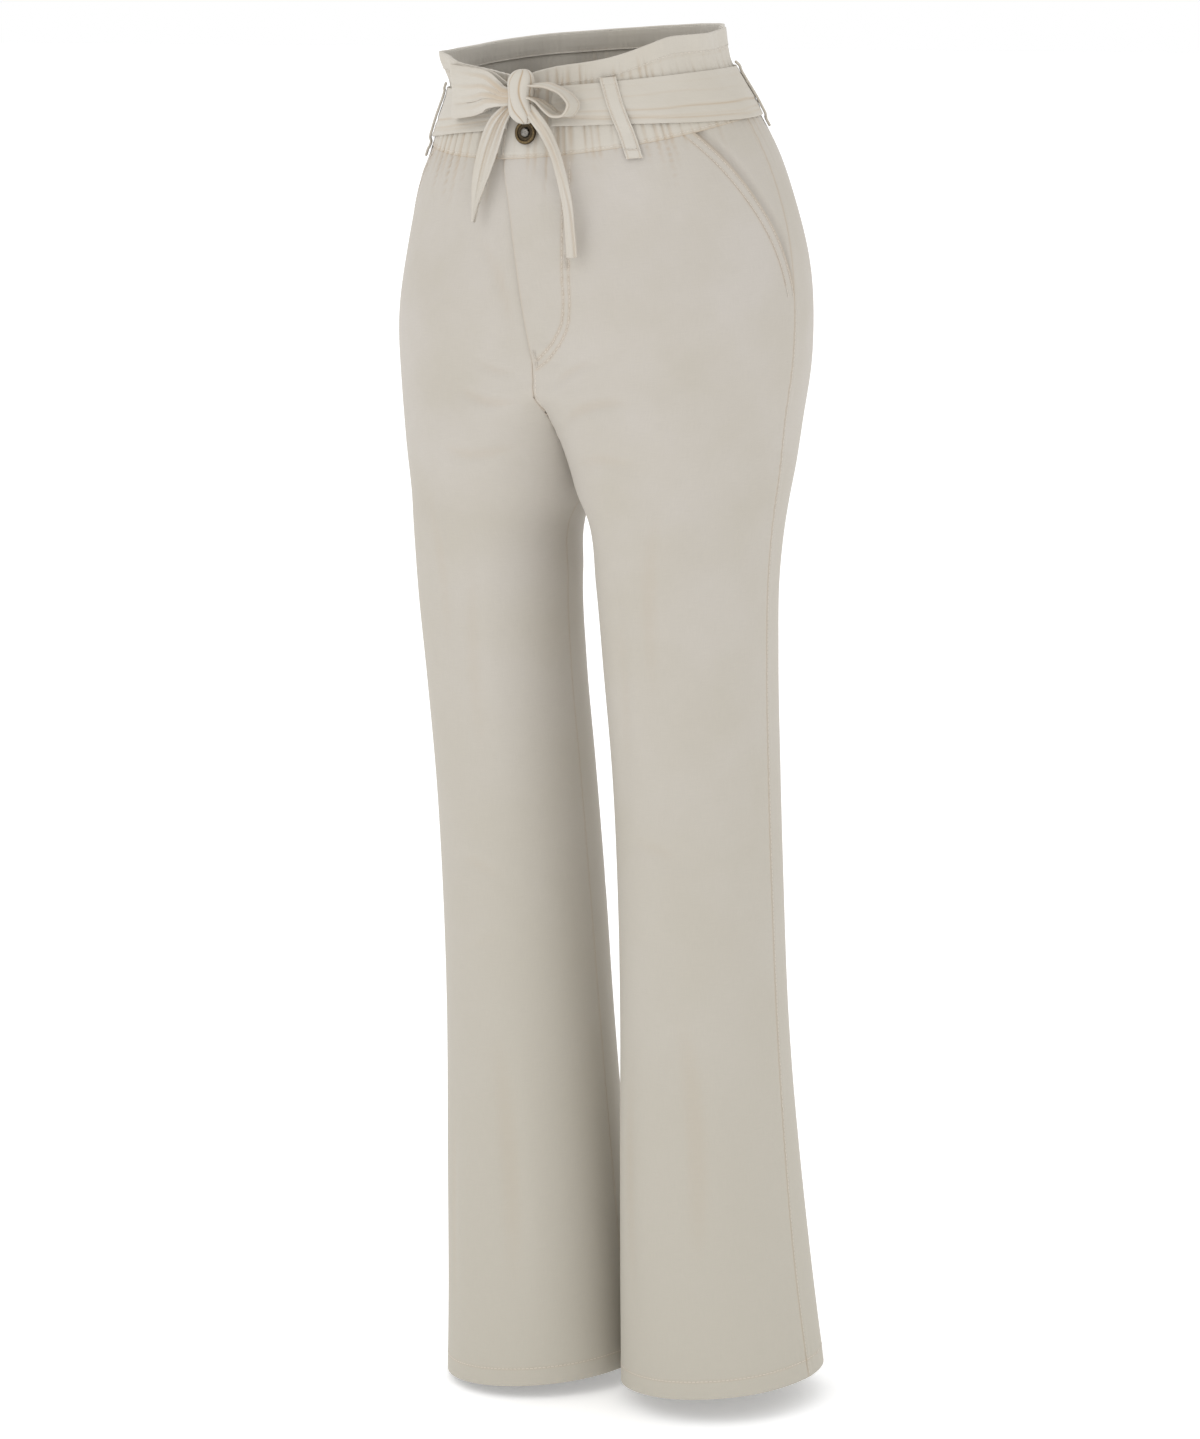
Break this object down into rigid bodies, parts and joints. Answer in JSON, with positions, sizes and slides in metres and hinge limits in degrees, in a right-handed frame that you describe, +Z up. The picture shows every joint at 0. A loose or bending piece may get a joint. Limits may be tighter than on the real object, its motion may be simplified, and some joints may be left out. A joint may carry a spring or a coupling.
{
  "type": "paperbag waist trousers",
  "caption": "Cream cotton twill trousers with a gathered paperbag frill above the waistband, a self-fabric sash tied in a bow, slant pockets and slightly flared legs.",
  "frame": {"origin": "centre of the waist, level with the lower edge of the sash at the front", "axes": "+Z up towards the frill, the wearer faces -Y, +X towards the wearer's left"},
  "size_m": [0.3336, 0.2409, 1.0621],
  "materials": {
    "twill": "matt cotton twill, cream",
    "sash_twill": "matt cotton twill, cream, folded double",
    "antique_brass": "dark antique brass, rubbed on its rim",
    "worn_metal": "dull worn metal"
  },
  "bodies": {
    "root": {"front_left": "twill", "front_right": "twill", "back_left": "twill", "back_right": "twill", "pocket_side_left": "twill", "pocket_side_right": "twill", "waistband": "twill", "frill_hem": "twill", "belt_loop_front_left": "twill", "belt_loop_side_left": "twill", "belt_loop_back": "twill", "belt_loop_side_right": "twill", "belt_loop_front_right": "twill", "sash": "sash_twill", "sash_knot": "sash_twill", "bow_loop_left": "sash_twill", "bow_loop_right": "sash_twill", "sash_tail_left": "sash_twill", "sash_tail_right": "sash_twill", "button_ring": "antique_brass", "button_centre": "worn_metal"}
  },
  "joints": []
}
